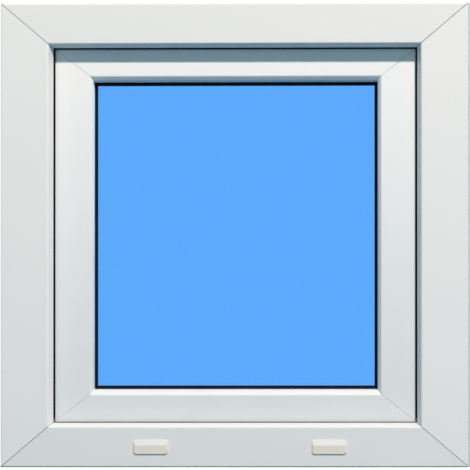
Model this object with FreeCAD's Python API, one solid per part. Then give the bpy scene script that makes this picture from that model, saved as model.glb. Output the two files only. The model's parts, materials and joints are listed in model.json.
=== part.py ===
# Tilt and turn window: a white plastic outer frame, an inward opening sash in it, double glazing,
# black seals, two drain caps on the weather side, and the handle and hinges on the room side.
# Millimetres. +Z is up, -Y is the weather side, +X is to the right seen from the weather side.
# The origin is the middle of the outer frame's bottom face.
import FreeCAD, Part
import math
import os
from FreeCAD import Vector

# Overall sizes of the outer frame
WIDTH = 600.0
HEIGHT = 594.0
FRAME_DEPTH = 70.0

# Flat face of the outer frame's uprights and of its rails, up to the bevelled lip.
# Every inset is given for an upright. On a rail it shrinks with the face as far as the sash's face,
# so the frame's corners are cut on one straight mitre. The sash's face, its bevel and the seal inside it
# have sizes of their own on a rail.
STILE_FACE = 60.6
RAIL_FACE = 51.5
RAIL_SASH_FACE = 34.1
RAIL_SASH_BEVEL = 7.5
RAIL_GLAZING_SEAL_SHOW = 4.6

# Walls of the hollow plastic sections
WALL = 3.0
WEB = 2.0

# Outer frame: bevelled lip on the weather side, rebate behind it
LIP_BEVEL = 5.6
LIP_DEPTH = 17.0
LIP_NOSE_LENGTH = 2.0
LIP_HEIGHT = 20.0
REBATE_FALL = 1.5
CLIP_GROOVE_WIDTH = 6.0
CLIP_GROOVE_DEPTH = 4.0
CLIP_GROOVE_EDGE = 12.0
OUTER_RADIUS = 1.5
LIP_RADIUS = 3.0
FACE_RADIUS = 3.0
EDGE_RADIUS = 1.0
NOSE_RADIUS = 0.7

# Seals: each has a foot in a groove and a bulb that fills the gap it closes
SEAL_GROOVE_WIDTH = 3.5
SEAL_GROOVE_DEPTH = 3.5
SEAL_CLEARANCE = 0.2
FRAME_SEAL_GAP = 4.5
FRAME_SEAL_SHOW = 2.4
SASH_SEAL_GAP = 3.5
SASH_SEAL_FROM_TIP = 2.5
GLAZING_SEAL_GAP = 3.5
GLAZING_SEAL_SHOW = 3.9
BEAD_SEAL_SHOW = 1.7
SEAL_SHOULDER = 1.2

# Sash: its face on the weather side, flange over the frame on the room side, glazing rebate
SASH_FACE = 44.0
FLANGE_THICKNESS = 12.0
REBATE_GAP = 12.0
FLANGE_OVERLAP = 8.0
SASH_BEVEL = 4.2
SASH_BEVEL_DEPTH = 4.5
SASH_BEVEL_RADIUS = 2.5
SASH_FLANK = 1.4
SASH_NOSE_LENGTH = 2.5
GLAZING_LEG_DEPTH = 15.0
GLAZING_REBATE = 22.0
HARDWARE_GROOVE_WIDTH = 12.0
HARDWARE_GROOVE_DEPTH = 9.0

# Double glazing
PANE = 4.0
CAVITY = 16.0
GLASS_EDGE_GAP = 5.0
GLASS_ARRIS = 0.5
SPACER_WIDTH = 7.0
SPACER_INSET = 3.0
SPACER_CHAMFER = 1.5

# Glazing bead on the room side
BEAD_TOP = 11.0
BEAD_NOSE = 2.5
BEAD_FOOT_WIDTH = 4.0
BEAD_FOOT_DEPTH = 3.5
BEAD_FOOT_FROM_FACE = 5.5
BEAD_FOOT_CLEARANCE = 0.6
BEAD_JOINT = 0.25

# Groove left along each welded mitre when the bead of weld is cleaned off
WELD_GROOVE_WIDTH = 1.2
WELD_GROOVE_DEPTH = 0.7

# Low drain caps over the slots in the bottom rail, held by two clip legs in each slot
CAP_WIDTH = 45.0
CAP_HEIGHT = 18.8
CAP_CORNER = 4.5
CAP_BOTTOM_CUT = 3.5
CAP_RIDGE = 2.1
CAP_RIDGE_BELOW_TOP = 7.3
CAP_FOOT = 1.4
CAP_RIM = 0.6
CAP_END_SLOPE = 2.0
CAP_WALL = 0.8
CAP_LEFT_X = -107.3
CAP_RIGHT_X = 121.7
CAP_CENTRE_Z = 25.3
DRAIN_SLOT_WIDTH = 28.0
DRAIN_SLOT_HEIGHT = 5.0
CLIP_LEG_WIDTH = 4.0
CLIP_LEG_LENGTH = 6.0
CLIP_LEG_CLEARANCE = 0.2

# Handle on the room side, turned down, which is the locked position
ROSETTE_WIDTH = 31.0
ROSETTE_HEIGHT = 68.0
ROSETTE_THICKNESS = 9.0
ROSETTE_CORNER = 9.0
ROSETTE_EDGE = 2.0
LEVER_WIDTH = 19.0
LEVER_LENGTH = 118.0
LEVER_THICKNESS = 11.0
LEVER_STAND_OFF = 23.0
LEVER_BOW = 4.0
LEVER_EDGE = 2.5
LEVER_TOP_CORNER = 9.0
LEVER_TIP_CORNER = 7.0
NECK_RADIUS = 8.5

# Hinges on the room side: a knuckle on the frame and one on the sash at each corner
HINGE_AXIS_INSET = 28.0
HINGE_CLEARANCE = 1.5
KNUCKLE_RADIUS = 8.5
KNUCKLE_FROM_EDGE = 8.0
FRAME_KNUCKLE_LENGTH = 32.0
SASH_KNUCKLE_LENGTH = 45.0
KNUCKLE_GAP = 0.6
KNUCKLE_CHAMFER = 1.5
HINGE_LEAF_REACH = 34.0
HINGE_LEAF_THICKNESS = 3.0
HINGE_LEAF_CORNER = 5.0
HINGE_LEAF_CHAMFER = 1.0

# How near an edge has to lie to a plane to count as in it
TOLERANCE = 0.01

# Insets from the outer edge of an upright, and depths from the frame's weather face
LIP_EDGE = STILE_FACE + LIP_BEVEL
REBATE_FLOOR = LIP_EDGE - LIP_HEIGHT
SASH_BACK = REBATE_FLOOR + REBATE_GAP
FLANGE_TIP = REBATE_FLOOR - FLANGE_OVERLAP
SASH_FACE_START = LIP_EDGE + FRAME_SEAL_SHOW
SASH_FACE_END = SASH_FACE_START + SASH_FACE
SASH_NOSE = SASH_FACE_END + SASH_BEVEL + SASH_FLANK
GLAZING_FLOOR = SASH_NOSE - GLAZING_REBATE
GLASS_EDGE = GLAZING_FLOOR + GLASS_EDGE_GAP
GLASS_SIGHT_LINE = SASH_NOSE + GLAZING_SEAL_SHOW
DEEPEST_INSET = GLASS_SIGHT_LINE + GLAZING_SEAL_SHOW

SASH_FRONT = LIP_DEPTH + FRAME_SEAL_GAP
FLANGE_BACK = FRAME_DEPTH + SASH_SEAL_GAP
SASH_REAR = FLANGE_BACK + FLANGE_THICKNESS
GLAZING_LEG_BACK = SASH_FRONT + GLAZING_LEG_DEPTH
OUTER_PANE_FRONT = GLAZING_LEG_BACK + GLAZING_SEAL_GAP
OUTER_PANE_BACK = OUTER_PANE_FRONT + PANE
INNER_PANE_FRONT = OUTER_PANE_BACK + CAVITY
INNER_PANE_BACK = INNER_PANE_FRONT + PANE
BEAD_FRONT = INNER_PANE_BACK + GLAZING_SEAL_GAP
BEAD_FOOT_BACK = SASH_REAR - BEAD_FOOT_FROM_FACE
BEAD_FOOT_FRONT = BEAD_FOOT_BACK - BEAD_FOOT_WIDTH
HINGE_AXIS_DEPTH = FRAME_DEPTH + HINGE_CLEARANCE + KNUCKLE_RADIUS

# Grooves that hold the seals' feet, as (first inset, last inset)
FRAME_SEAL_GROOVE = (LIP_EDGE - 2.0 * SEAL_GROOVE_WIDTH, LIP_EDGE - SEAL_GROOVE_WIDTH)
SASH_SEAL_GROOVE = (FLANGE_TIP + SASH_SEAL_FROM_TIP, FLANGE_TIP + SASH_SEAL_FROM_TIP + SEAL_GROOVE_WIDTH)
GLAZING_SEAL_GROOVE = (SASH_NOSE - 2.0 * SEAL_GROOVE_WIDTH, SASH_NOSE - SEAL_GROOVE_WIDTH)

SIDES = ("head", "sill", "left", "right")

# The bars' mitre line as (inset on an upright, inset on a rail). It turns where the sash's face starts,
# and at both ends of its bevel.
FACE_START = (SASH_FACE_START, RAIL_FACE * SASH_FACE_START / STILE_FACE)
BEVEL_START = (SASH_FACE_END, FACE_START[1] + RAIL_SASH_FACE)
BEVEL_END = (SASH_NOSE, BEVEL_START[1] + RAIL_SASH_BEVEL)
SIGHT_LINE = (GLASS_SIGHT_LINE, BEVEL_END[1] + RAIL_GLAZING_SEAL_SHOW)
BAR_MITRE = ((0.0, 0.0), FACE_START, BEVEL_START, BEVEL_END, SIGHT_LINE)


def rail_inset(inset, mitre):
    """Inset on a rail that meets an inset on an upright on a mitre line, whose end runs go on straight."""
    first, last = mitre[0], mitre[1]
    for start, end in zip(mitre[1:], mitre[2:]):
        if inset > start[0]:
            first, last = start, end
    return first[1] + (inset - first[0]) * (last[1] - first[1]) / (last[0] - first[0])


# The beads' mitre line, straight from the glazing rebate to the bead's nose
BEAD_MITRE = ((GLAZING_FLOOR, rail_inset(GLAZING_FLOOR, BAR_MITRE)), BEVEL_END)


def at_depth(depth):
    """Y of a depth measured from the frame's weather face."""
    return depth - FRAME_DEPTH / 2.0


def place(side, inset, depth, along, mitre=BAR_MITRE):
    """Point of a section on one side of the window, at a place along that side."""
    if side == "sill":
        return Vector(along, at_depth(depth), rail_inset(inset, mitre))
    if side == "head":
        return Vector(along, at_depth(depth), HEIGHT - rail_inset(inset, mitre))
    if side == "left":
        return Vector(-WIDTH / 2.0 + inset, at_depth(depth), along)
    return Vector(WIDTH / 2.0 - inset, at_depth(depth), along)


def run(side):
    """First place along a side and the vector to its far end."""
    if side in ("sill", "head"):
        return -WIDTH / 2.0, Vector(WIDTH, 0, 0)
    return 0.0, Vector(0, 0, HEIGHT)


def rounded_wire(corners, to_point):
    """Closed wire through (a, b, radius) corners, each rounded by its radius, mapped by to_point(a, b)."""
    edges = []
    starts = []
    ends = []
    middles = []
    for i, (a, b, radius) in enumerate(corners):
        corner = Vector(a, b, 0)
        before = Vector(corners[i - 1][0], corners[i - 1][1], 0) - corner
        after = Vector(corners[(i + 1) % len(corners)][0], corners[(i + 1) % len(corners)][1], 0) - corner
        before.normalize()
        after.normalize()
        half_angle = before.getAngle(after) / 2.0
        reach = radius / math.tan(half_angle)
        bisector = before + after
        bisector.normalize()
        starts.append(corner + before * reach)
        ends.append(corner + after * reach)
        middles.append(corner + bisector * (radius / math.sin(half_angle) - radius))
    for i, (a, b, radius) in enumerate(corners):
        if radius > 0:
            points = [to_point(p.x, p.y) for p in (starts[i], middles[i], ends[i])]
            edges.append(Part.Arc(*points).toShape())
        following = (i + 1) % len(corners)
        edges.append(Part.LineSegment(to_point(ends[i].x, ends[i].y),
                                      to_point(starts[following].x, starts[following].y)).toShape())
    return Part.Wire(edges)


def box_corners(first, last):
    """Sharp corners of a rectangle between two opposite (inset, depth) points."""
    return [(first[0], first[1], 0), (last[0], first[1], 0), (last[0], last[1], 0), (first[0], last[1], 0)]


def mitre_wedge(side, mitre):
    """The part of the window that one side's members may fill: a bar with both ends on the mitre lines."""
    first, vector = run(side)
    insets = [0.0] + [inset for inset, _ in mitre if inset > 0] + [DEEPEST_INSET]
    level = side in ("sill", "head")
    reaches = [inset if level else rail_inset(inset, mitre) for inset in insets]
    near = [place(side, inset, -FRAME_DEPTH, first + reach, mitre) for inset, reach in zip(insets, reaches)]
    far = [place(side, inset, -FRAME_DEPTH, first + vector.Length - reach, mitre)
           for inset, reach in zip(insets, reaches)]
    corners = near + far[::-1]
    return Part.Face(Part.makePolygon(corners + [corners[0]])).extrude(Vector(0, 4.0 * FRAME_DEPTH, 0))


WEDGES = {(side, mitre): mitre_wedge(side, mitre) for side in SIDES for mitre in (BAR_MITRE, BEAD_MITRE)}


def member(side, outline, chambers=(), mitre=BAR_MITRE):
    """One mitred bar: the outline, less its hollow chambers, drawn along a side and cut to the mitres."""
    first, vector = run(side)

    def to_point(inset, depth):
        return place(side, inset, depth, first, mitre)

    face = Part.Face(rounded_wire(outline, to_point))
    for chamber in chambers:
        face = face.cut(Part.Face(rounded_wire(box_corners(*chamber), to_point)))
    return face.Faces[0].extrude(vector).common(WEDGES[side, mitre]).Solids[0]


def ring(outline):
    """The four mitred bars of one outline, joined into a closed ring."""
    bars = [member(side, outline) for side in SIDES]
    return bars[0].fuse(bars[1:]).removeSplitter().Solids[0]


def weld_grooves(depth, first_inset, last_inset):
    """V grooves along the four mitres in the face at a depth, between two insets."""
    cuts = []
    for rail in ("sill", "head"):
        for upright_sign in (-1, 1):
            ends = []
            for inset in (first_inset, last_inset):
                on_rail = place(rail, inset, depth, upright_sign * (WIDTH / 2.0 - inset))
                ends.append(on_rail)
            along = ends[1] - ends[0]
            across = along.cross(Vector(0, 1, 0))
            across.normalize()
            half = across * (WELD_GROOVE_WIDTH / 2.0)
            deep = Vector(0, WELD_GROOVE_DEPTH, 0)
            points = [ends[0] + half, ends[0] + deep, ends[0] - half, ends[0] - deep]
            cuts.append(Part.Face(Part.makePolygon(points + [points[0]])).extrude(along))
    return cuts


def seal_outline(groove, groove_bottom, face, far, first, last):
    """Seal with a foot in a groove: the bulb lies between two depths, face and far, and two insets."""
    into = math.copysign(1.0, far - face)
    low, high = groove[0] + SEAL_CLEARANCE, groove[1] - SEAL_CLEARANCE
    foot = groove_bottom + into * SEAL_CLEARANCE
    near_edge, far_edge = face + into * SEAL_SHOULDER, far - into * SEAL_SHOULDER
    inner, outer = first + SEAL_SHOULDER, last - SEAL_SHOULDER
    return [(low, face, 0), (low, foot, 0), (high, foot, 0), (high, face, 0),
            (outer, face, 0), (last, near_edge, 0), (last, far_edge, 0), (outer, far, 0),
            (inner, far, 0), (first, far_edge, 0), (first, near_edge, 0), (inner, face, 0)]


def frame_outline():
    """Section of the outer frame, from its weather face round to its outer edge."""
    groove_low, groove_high = FRAME_SEAL_GROOVE
    near, far = CLIP_GROOVE_EDGE, CLIP_GROOVE_EDGE + CLIP_GROOVE_WIDTH
    return [(0, 0, OUTER_RADIUS), (STILE_FACE, 0, LIP_RADIUS),
            (LIP_EDGE, LIP_DEPTH - LIP_NOSE_LENGTH, NOSE_RADIUS), (LIP_EDGE, LIP_DEPTH, NOSE_RADIUS),
            (groove_high, LIP_DEPTH, 0), (groove_high, LIP_DEPTH - SEAL_GROOVE_DEPTH, 0),
            (groove_low, LIP_DEPTH - SEAL_GROOVE_DEPTH, 0), (groove_low, LIP_DEPTH, 0),
            (REBATE_FLOOR - REBATE_FALL, LIP_DEPTH, 0), (REBATE_FLOOR, FRAME_DEPTH, EDGE_RADIUS),
            (0, FRAME_DEPTH, EDGE_RADIUS),
            (0, FRAME_DEPTH - near, 0), (CLIP_GROOVE_DEPTH, FRAME_DEPTH - near, 0),
            (CLIP_GROOVE_DEPTH, FRAME_DEPTH - far, 0), (0, FRAME_DEPTH - far, 0),
            (0, far, 0), (CLIP_GROOVE_DEPTH, far, 0), (CLIP_GROOVE_DEPTH, near, 0), (0, near, 0)]


def frame_chambers():
    """Hollows of the frame section: one in the lip, and three side by side behind the face."""
    low = CLIP_GROOVE_DEPTH + WALL
    high = REBATE_FLOOR - REBATE_FALL - WALL
    front_back = LIP_DEPTH + WALL
    rear_front = FRAME_DEPTH - WALL - LIP_DEPTH
    return [((high + 2.0 * WALL, WALL), (FRAME_SEAL_GROOVE[0] - WALL, LIP_DEPTH - WALL)),
            ((low, WALL), (high, front_back)),
            ((low, front_back + WEB), (high, rear_front - WEB)),
            ((low, rear_front), (high, FRAME_DEPTH - WALL))]


def sash_outline():
    """Section of the sash, from its weather face round the glazing rebate to its flange and back."""
    glazing_low, glazing_high = GLAZING_SEAL_GROOVE
    flange_low, flange_high = SASH_SEAL_GROOVE
    groove_middle = (SASH_FRONT + FLANGE_BACK) / 2.0 + HARDWARE_GROOVE_WIDTH / 2.0
    groove_front = groove_middle - HARDWARE_GROOVE_WIDTH / 2.0
    groove_back = groove_middle + HARDWARE_GROOVE_WIDTH / 2.0
    glazing_bottom = GLAZING_LEG_BACK - SEAL_GROOVE_DEPTH
    return [(SASH_BACK, SASH_FRONT, EDGE_RADIUS), (SASH_FACE_END, SASH_FRONT, SASH_BEVEL_RADIUS),
            (SASH_FACE_END + SASH_BEVEL, SASH_FRONT + SASH_BEVEL_DEPTH, SASH_BEVEL_RADIUS),
            (SASH_NOSE, GLAZING_LEG_BACK - SASH_NOSE_LENGTH, NOSE_RADIUS),
            (SASH_NOSE, GLAZING_LEG_BACK, NOSE_RADIUS),
            (glazing_high, GLAZING_LEG_BACK, 0), (glazing_high, glazing_bottom, 0),
            (glazing_low, glazing_bottom, 0), (glazing_low, GLAZING_LEG_BACK, 0),
            (GLAZING_FLOOR, GLAZING_LEG_BACK, 0),
            (GLAZING_FLOOR, BEAD_FOOT_FRONT, 0), (GLAZING_FLOOR - BEAD_FOOT_DEPTH, BEAD_FOOT_FRONT, 0),
            (GLAZING_FLOOR - BEAD_FOOT_DEPTH, BEAD_FOOT_BACK, 0), (GLAZING_FLOOR, BEAD_FOOT_BACK, 0),
            (GLAZING_FLOOR, SASH_REAR, EDGE_RADIUS), (FLANGE_TIP, SASH_REAR, FACE_RADIUS),
            (FLANGE_TIP, FLANGE_BACK, EDGE_RADIUS),
            (flange_low, FLANGE_BACK, 0), (flange_low, FLANGE_BACK + SEAL_GROOVE_DEPTH, 0),
            (flange_high, FLANGE_BACK + SEAL_GROOVE_DEPTH, 0), (flange_high, FLANGE_BACK, 0),
            (SASH_BACK, FLANGE_BACK, 0),
            (SASH_BACK, groove_back, 0), (SASH_BACK + HARDWARE_GROOVE_DEPTH, groove_back, 0),
            (SASH_BACK + HARDWARE_GROOVE_DEPTH, groove_front, 0), (SASH_BACK, groove_front, 0)]


def sash_chambers():
    """Hollows of the sash section: glazing leg, front, middle and room side."""
    low = SASH_BACK + WALL
    deep_low = SASH_BACK + HARDWARE_GROOVE_DEPTH + WALL
    high = GLAZING_FLOOR - BEAD_FOOT_DEPTH - WALL
    front = SASH_FRONT + WALL
    front_back = GLAZING_LEG_BACK + WALL
    rear_front = FLANGE_BACK - WALL
    leg_back = GLAZING_LEG_BACK - SEAL_GROOVE_DEPTH - WALL
    return [((GLAZING_FLOOR, front), (SASH_FACE_END - WALL, leg_back)),
            ((low, front), (GLAZING_FLOOR - WALL, front_back)),
            ((deep_low, front_back + WEB), (high, rear_front - WEB)),
            ((low, rear_front), (high, SASH_REAR - WALL))]


def bead_outline():
    """Section of the glazing bead: a foot in the sash's groove and a sloping face to the room."""
    foot = GLAZING_FLOOR - BEAD_FOOT_DEPTH + BEAD_FOOT_CLEARANCE
    foot_front, foot_back = BEAD_FOOT_FRONT + BEAD_FOOT_CLEARANCE, BEAD_FOOT_BACK - BEAD_FOOT_CLEARANCE
    return [(GLAZING_FLOOR, BEAD_FRONT, 0), (SASH_NOSE, BEAD_FRONT, NOSE_RADIUS),
            (SASH_NOSE, BEAD_FRONT + BEAD_NOSE, NOSE_RADIUS),
            (GLAZING_FLOOR + BEAD_TOP, SASH_REAR, FACE_RADIUS),
            (GLAZING_FLOOR + BEAD_JOINT, SASH_REAR, EDGE_RADIUS),
            (GLAZING_FLOOR + BEAD_JOINT, foot_back, 0), (foot, foot_back, 0), (foot, foot_front, 0),
            (GLAZING_FLOOR, foot_front, 0)]


def bead_seal_outline():
    """Strip between the bead and the inner pane, showing a little past the bead's nose."""
    first = SASH_NOSE - SEAL_GROOVE_WIDTH
    last = SASH_NOSE + BEAD_SEAL_SHOW
    return [(first, INNER_PANE_BACK, 0), (last, INNER_PANE_BACK, 0),
            (last, INNER_PANE_BACK + SEAL_SHOULDER, NOSE_RADIUS),
            (SASH_NOSE - NOSE_RADIUS, BEAD_FRONT, 0), (first, BEAD_FRONT, 0)]


def glazing_seal_outline():
    """Seal between the sash's glazing leg and the outer pane, sloping out past the leg's nose."""
    low, high = GLAZING_SEAL_GROOVE
    bottom = GLAZING_LEG_BACK - SEAL_GROOVE_DEPTH + SEAL_CLEARANCE
    return [(low - SEAL_SHOULDER, GLAZING_LEG_BACK, 0), (low + SEAL_CLEARANCE, GLAZING_LEG_BACK, 0),
            (low + SEAL_CLEARANCE, bottom, 0), (high - SEAL_CLEARANCE, bottom, 0),
            (high - SEAL_CLEARANCE, GLAZING_LEG_BACK, 0), (SASH_NOSE - NOSE_RADIUS, GLAZING_LEG_BACK, 0),
            (GLASS_SIGHT_LINE, OUTER_PANE_FRONT - SEAL_SHOULDER, 0),
            (GLASS_SIGHT_LINE, OUTER_PANE_FRONT, 0), (low - SEAL_SHOULDER, OUTER_PANE_FRONT, 0)]


def spacer_outline():
    """Section of the spacer bar between the panes, with its visible corners cut off."""
    first = GLASS_EDGE + SPACER_INSET
    last = first + SPACER_WIDTH
    return [(first, OUTER_PANE_BACK, 0), (last - SPACER_CHAMFER, OUTER_PANE_BACK, 0),
            (last, OUTER_PANE_BACK + SPACER_CHAMFER, 0), (last, INNER_PANE_FRONT - SPACER_CHAMFER, 0),
            (last - SPACER_CHAMFER, INNER_PANE_FRONT, 0), (first, INNER_PANE_FRONT, 0)]


def pane(front):
    """One sheet of glass with its sharp edges taken off."""
    half_width = WIDTH / 2.0 - GLASS_EDGE
    edge_height = rail_inset(GLASS_EDGE, BAR_MITRE)
    corner = Vector(-half_width, at_depth(front), edge_height)
    sheet = Part.makeBox(2.0 * half_width, PANE, HEIGHT - 2.0 * edge_height, corner)
    return sheet.makeChamfer(GLASS_ARRIS, sheet.Edges)


def rounded_plate(centre_x, centre_z, width, height, corner, y_from, y_to):
    """Upright plate with rounded corners between two values of Y."""
    half_w, half_h = width / 2.0, height / 2.0
    corners = [(-half_w, -half_h, corner), (half_w, -half_h, corner),
               (half_w, half_h, corner), (-half_w, half_h, corner)]
    wire = rounded_wire(corners, lambda a, b: Vector(centre_x + a, y_from, centre_z + b))
    return Part.Face(wire).extrude(Vector(0, y_to - y_from, 0))


def cap_body(centre_x):
    """Low cap: its upper half slopes up to a ridge, its lower half is nearly level with the frame's face."""
    middle = Vector(centre_x, at_depth(0), CAP_CENTRE_Z)
    half_width, half_height = CAP_WIDTH / 2.0, CAP_HEIGHT / 2.0
    side_view = [(0, -half_height, 0), (CAP_FOOT, -half_height, EDGE_RADIUS),
                 (CAP_RIDGE, half_height - CAP_RIDGE_BELOW_TOP, FACE_RADIUS), (CAP_RIM, half_height, 0),
                 (0, half_height, 0)]
    side = Part.Face(rounded_wire(side_view, lambda out, up: middle + Vector(-half_width, -out, up)))
    level = half_width - CAP_END_SLOPE
    plan_view = [(-half_width, 0, 0), (-half_width, CAP_RIM, 0), (-level, CAP_RIDGE, EDGE_RADIUS),
                 (level, CAP_RIDGE, EDGE_RADIUS), (half_width, CAP_RIM, 0), (half_width, 0, 0)]
    plan = Part.Face(rounded_wire(plan_view, lambda along, out: middle + Vector(along, -out, -half_height)))
    cut_end, cut_top = half_width - CAP_BOTTOM_CUT, CAP_BOTTOM_CUT - half_height
    front_view = [(-cut_end, -half_height, EDGE_RADIUS), (cut_end, -half_height, EDGE_RADIUS),
                  (half_width, cut_top, EDGE_RADIUS), (half_width, half_height, CAP_CORNER),
                  (-half_width, half_height, CAP_CORNER), (-half_width, cut_top, EDGE_RADIUS)]
    front = Part.Face(rounded_wire(front_view, lambda along, up: middle + Vector(along, 0, up)))
    body = side.extrude(Vector(CAP_WIDTH, 0, 0)).common(plan.extrude(Vector(0, 0, CAP_HEIGHT)))
    return body.common(front.extrude(Vector(0, -CAP_RIDGE, 0)))


def drain_slot(centre_x):
    """Cut through the frame's weather wall behind a cap."""
    corner = Vector(centre_x - DRAIN_SLOT_WIDTH / 2.0, at_depth(0), CAP_CENTRE_Z - DRAIN_SLOT_HEIGHT / 2.0)
    return Part.makeBox(DRAIN_SLOT_WIDTH, CLIP_LEG_LENGTH, DRAIN_SLOT_HEIGHT, corner)


def drain_cap(centre_x):
    """Cap with a water channel behind it, open below, and clip legs in the two ends of the slot."""
    channel = CAP_FOOT - CAP_WALL
    low = CAP_CENTRE_Z - CAP_HEIGHT / 2.0
    slot_top = CAP_CENTRE_Z + DRAIN_SLOT_HEIGHT / 2.0
    way_width = DRAIN_SLOT_WIDTH - 2.0 * CLIP_LEG_WIDTH
    water_way = Part.makeBox(way_width, channel, slot_top - low,
                             Vector(centre_x - way_width / 2.0, at_depth(-channel), low))
    height = DRAIN_SLOT_HEIGHT - 2.0 * CLIP_LEG_CLEARANCE
    leg_width = CLIP_LEG_WIDTH - CLIP_LEG_CLEARANCE
    legs = []
    for start in (CLIP_LEG_CLEARANCE - DRAIN_SLOT_WIDTH / 2.0, DRAIN_SLOT_WIDTH / 2.0 - CLIP_LEG_WIDTH):
        legs.append(Part.makeBox(leg_width, CLIP_LEG_LENGTH, height,
                                 Vector(centre_x + start, at_depth(0), CAP_CENTRE_Z - height / 2.0)))
    return cap_body(centre_x).cut(water_way).fuse(legs).removeSplitter().Solids[0]


def handle_centre():
    """X and Z of the handle's spindle, in the middle of the right stile's room side."""
    return WIDTH / 2.0 - (FLANGE_TIP + GLAZING_FLOOR) / 2.0, HEIGHT / 2.0


def handle_rosette():
    """Base plate of the handle on the sash's room face."""
    x, z = handle_centre()
    face_y = at_depth(SASH_REAR)
    front_y = face_y + ROSETTE_THICKNESS
    plate = rounded_plate(x, z, ROSETTE_WIDTH, ROSETTE_HEIGHT, ROSETTE_CORNER, face_y, front_y)
    return plate.makeChamfer(ROSETTE_EDGE, edges_beyond(plate, front_y))


def edges_beyond(solid, y):
    """Edges of a solid that lie at a value of Y or further to the room."""
    return [edge for edge in solid.Edges if min(v.Y for v in edge.Vertexes) > y - TOLERANCE]


def handle_lever():
    """Lever: a round neck out of the rosette and a grip that hangs down, bent towards the sash at its tip."""
    x, z = handle_centre()
    root_y = at_depth(SASH_REAR) + ROSETTE_THICKNESS
    inner, outer = LEVER_STAND_OFF, LEVER_STAND_OFF + LEVER_THICKNESS
    half = LEVER_WIDTH / 2.0
    bend = -LEVER_LENGTH / 2.0
    side_view = [(inner, half, 0), (outer, half, 0), (outer, bend, 0), (outer - LEVER_BOW, -LEVER_LENGTH, 0),
                 (inner - LEVER_BOW, -LEVER_LENGTH, 0), (inner, bend, 0)]
    side = Part.Face(rounded_wire(side_view, lambda out, up: Vector(x - half, root_y + out, z + up)))
    front_view = [(-half, half, LEVER_TOP_CORNER), (-half, -LEVER_LENGTH, LEVER_TIP_CORNER),
                  (half, -LEVER_LENGTH, LEVER_TIP_CORNER), (half, half, LEVER_TOP_CORNER)]
    front = Part.Face(rounded_wire(front_view, lambda across, up: Vector(x + across, root_y, z + up)))
    grip = side.extrude(Vector(LEVER_WIDTH, 0, 0)).common(front.extrude(Vector(0, outer, 0))).Solids[0]
    grip = grip.makeFillet(LEVER_EDGE, grip.Edges)
    neck_length = LEVER_STAND_OFF + LEVER_THICKNESS / 2.0
    neck = Part.makeCylinder(NECK_RADIUS, neck_length, Vector(x, root_y, z), Vector(0, 1, 0))
    return grip.fuse(neck).removeSplitter().Solids[0]


def hinge_axis(height):
    """Point of the hinge axis on the left side at a height."""
    return Vector(-WIDTH / 2.0 + HINGE_AXIS_INSET, at_depth(HINGE_AXIS_DEPTH), height)


def frame_knuckle(low):
    """Bearing on the frame: a block on its room face with a round nose about the hinge axis."""
    centre = hinge_axis(low)
    barrel = Part.makeCylinder(KNUCKLE_RADIUS, FRAME_KNUCKLE_LENGTH, centre)
    block = Part.makeBox(2.0 * KNUCKLE_RADIUS, HINGE_AXIS_DEPTH - FRAME_DEPTH, FRAME_KNUCKLE_LENGTH,
                         Vector(centre.x - KNUCKLE_RADIUS, at_depth(FRAME_DEPTH), low))
    whole = barrel.fuse(block).removeSplitter()
    return chamfer_ends(whole, low, low + FRAME_KNUCKLE_LENGTH)


def chamfer_ends(solid, low, high):
    """Chamfers the level edges at the two ends of an upright knuckle, apart from those on a mounting face."""
    mounting = at_depth(FRAME_DEPTH) + TOLERANCE
    edges = []
    for edge in solid.Edges:
        heights = [v.Z for v in edge.Vertexes]
        level = max(heights) - min(heights) < TOLERANCE
        at_end = min(abs(heights[0] - low), abs(heights[0] - high)) < TOLERANCE
        on_mounting = max(v.Y for v in edge.Vertexes) < mounting
        if level and at_end and not on_mounting:
            edges.append(edge)
    return solid.makeChamfer(KNUCKLE_CHAMFER, edges).Solids[0]


def sash_knuckle(low):
    """Hinge band on the sash: a round knuckle on the hinge axis with a leaf on the sash's room face."""
    centre = hinge_axis(low)
    barrel = Part.makeCylinder(KNUCKLE_RADIUS, SASH_KNUCKLE_LENGTH, centre)
    barrel = chamfer_ends(barrel, low, low + SASH_KNUCKLE_LENGTH)
    leaf_end = -WIDTH / 2.0 + FLANGE_TIP + HINGE_LEAF_REACH
    face_y = at_depth(SASH_REAR)
    front_y = face_y + HINGE_LEAF_THICKNESS
    leaf = rounded_plate((centre.x + leaf_end) / 2.0, low + SASH_KNUCKLE_LENGTH / 2.0, leaf_end - centre.x,
                         SASH_KNUCKLE_LENGTH - 2.0 * KNUCKLE_CHAMFER, HINGE_LEAF_CORNER, face_y, front_y)
    leaf = leaf.makeChamfer(HINGE_LEAF_CHAMFER, edges_beyond(leaf, front_y))
    return barrel.fuse(leaf).removeSplitter().Solids[0]


def welded(bars, grooves):
    """Cuts the weld grooves into each of the mitred bars."""
    return {name: bar.cut(grooves).Solids[0] for name, bar in bars.items()}


def build_frame():
    """Four mitred bars of the outer frame, with the drain slots in the bottom one."""
    names = {"head": "frame_head", "sill": "frame_sill",
             "left": "frame_left_jamb", "right": "frame_right_jamb"}
    bars = {names[side]: member(side, frame_outline(), frame_chambers()) for side in SIDES}
    grooves = weld_grooves(0.0, 0.0, STILE_FACE) + weld_grooves(FRAME_DEPTH, 0.0, FLANGE_TIP)
    bars = welded(bars, grooves)
    slots = [drain_slot(x) for x in (CAP_LEFT_X, CAP_RIGHT_X)]
    bars["frame_sill"] = bars["frame_sill"].cut(slots).Solids[0]
    return bars


def build_sash():
    """Four mitred bars of the sash."""
    names = {"head": "sash_top_rail", "sill": "sash_bottom_rail",
             "left": "sash_left_stile", "right": "sash_right_stile"}
    bars = {names[side]: member(side, sash_outline(), sash_chambers()) for side in SIDES}
    grooves = weld_grooves(SASH_FRONT, SASH_FACE_START, SASH_FACE_END)
    grooves += weld_grooves(SASH_REAR, FLANGE_TIP, GLAZING_FLOOR)
    return welded(bars, grooves)


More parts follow.
